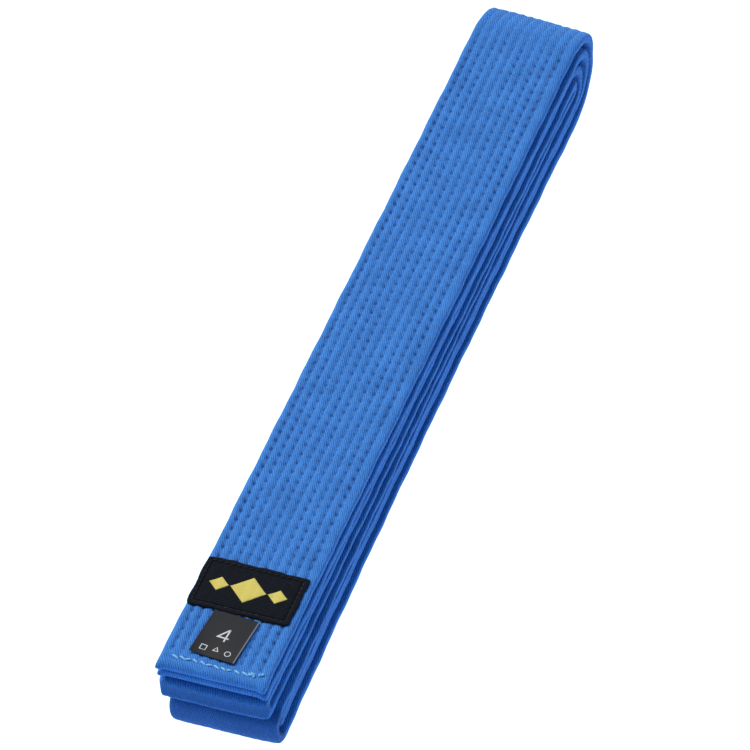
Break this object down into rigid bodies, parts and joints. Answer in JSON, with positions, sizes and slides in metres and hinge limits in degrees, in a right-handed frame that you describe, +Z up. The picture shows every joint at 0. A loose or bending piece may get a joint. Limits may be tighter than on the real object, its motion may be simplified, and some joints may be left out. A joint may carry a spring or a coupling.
{
  "type": "martial arts belt",
  "caption": "Quilted cotton martial arts belt folded into a flat bundle, with a woven label and a size tag near one hemmed end.",
  "frame": {"origin": "middle of the folded bundle, on the surface it lies on", "axes": "+X across the belt's width, +Y along the runs from the labelled end towards the far folds, +Z up through the stack"},
  "size_m": [0.04, 0.3474, 0.0407],
  "materials": {
    "cover_cloth": "mid blue cotton twill, quilted in long rows",
    "core_padding": "undyed cotton padding",
    "quilting_thread": "blue sewing thread, pulled down into the cloth",
    "hem_thread": "light blue thick sewing thread",
    "label_weave": "black ribbed label weave",
    "label_thread": "black sewing thread",
    "emblem_thread": "yellow satin stitch with a slight sheen",
    "tag_satin": "black satin ribbon with a soft sheen",
    "tag_ink": "white print"
  },
  "bodies": {
    "bundle": {"cover_run_5": "cover_cloth", "cover_run_6": "cover_cloth", "cover_run_7": "cover_cloth", "cover_run_8": "cover_cloth", "core_run_5": "core_padding", "core_run_6": "core_padding", "core_run_7": "core_padding", "core_run_8": "core_padding", "cover_far_fold_1": "cover_cloth", "cover_far_fold_2": "cover_cloth", "cover_far_fold_3": "cover_cloth", "cover_far_fold_4": "cover_cloth", "core_far_fold_1": "core_padding", "core_far_fold_2": "core_padding", "core_far_fold_3": "core_padding", "core_far_fold_4": "core_padding", "cover_near_fold_outer": "cover_cloth", "core_near_fold_outer": "core_padding", "cover_near_fold_inner": "cover_cloth", "core_near_fold_inner": "core_padding"},
    "labelled_end": {"cover_run_1": "cover_cloth", "core_run_1": "core_padding", "hem_stitching_1": "hem_thread", "quilting_thread_01": "quilting_thread", "quilting_thread_02": "quilting_thread", "quilting_thread_03": "quilting_thread", "quilting_thread_04": "quilting_thread", "quilting_thread_05": "quilting_thread", "quilting_thread_06": "quilting_thread", "quilting_thread_07": "quilting_thread", "quilting_thread_08": "quilting_thread", "quilting_thread_09": "quilting_thread", "quilting_thread_10": "quilting_thread", "woven_label": "label_weave", "label_stitching": "label_thread", "emblem_lozenge_left": "emblem_thread", "emblem_lozenge_middle": "emblem_thread", "emblem_lozenge_right": "emblem_thread", "size_tag_tuck": "tag_satin"},
    "second_end": {"cover_run_2": "cover_cloth", "core_run_2": "core_padding", "hem_stitching_2": "hem_thread"},
    "middle_pair": {"cover_run_3": "cover_cloth", "core_run_3": "core_padding", "cover_run_4": "cover_cloth", "core_run_4": "core_padding", "cover_near_fold_middle": "cover_cloth", "core_near_fold_middle": "core_padding"},
    "tag_flap": {"size_tag": "tag_satin", "size_numeral": "tag_ink", "care_mark_square": "tag_ink", "care_mark_triangle": "tag_ink", "care_mark_ring": "tag_ink"}
  },
  "joints": [
    {"name": "lift_labelled_end", "type": "hinge", "parent": "bundle", "child": "labelled_end", "pos_m": [0, 0.15393, 0.03905], "axis": [-1, 0, 0], "range_deg": [0, 80]},
    {"name": "lift_second_end", "type": "hinge", "parent": "bundle", "child": "second_end", "pos_m": [0, 0.15272, 0.0341], "axis": [-1, 0, 0], "range_deg": [0, 40]},
    {"name": "lift_middle_pair", "type": "hinge", "parent": "bundle", "child": "middle_pair", "pos_m": [0, 0.15152, 0.02915], "axis": [-1, 0, 0], "range_deg": [0, 20]},
    {"name": "flip_size_tag", "type": "hinge", "parent": "labelled_end", "child": "tag_flap", "pos_m": [-0.0011, -0.1457, 0.03975], "axis": [-1, 0, 0], "range_deg": [0, 95]}
  ],
  "couplings": [
    {"joint": "lift_second_end", "follows": "lift_labelled_end", "ratio": 0.5},
    {"joint": "lift_middle_pair", "follows": "lift_labelled_end", "ratio": 0.25}
  ]
}
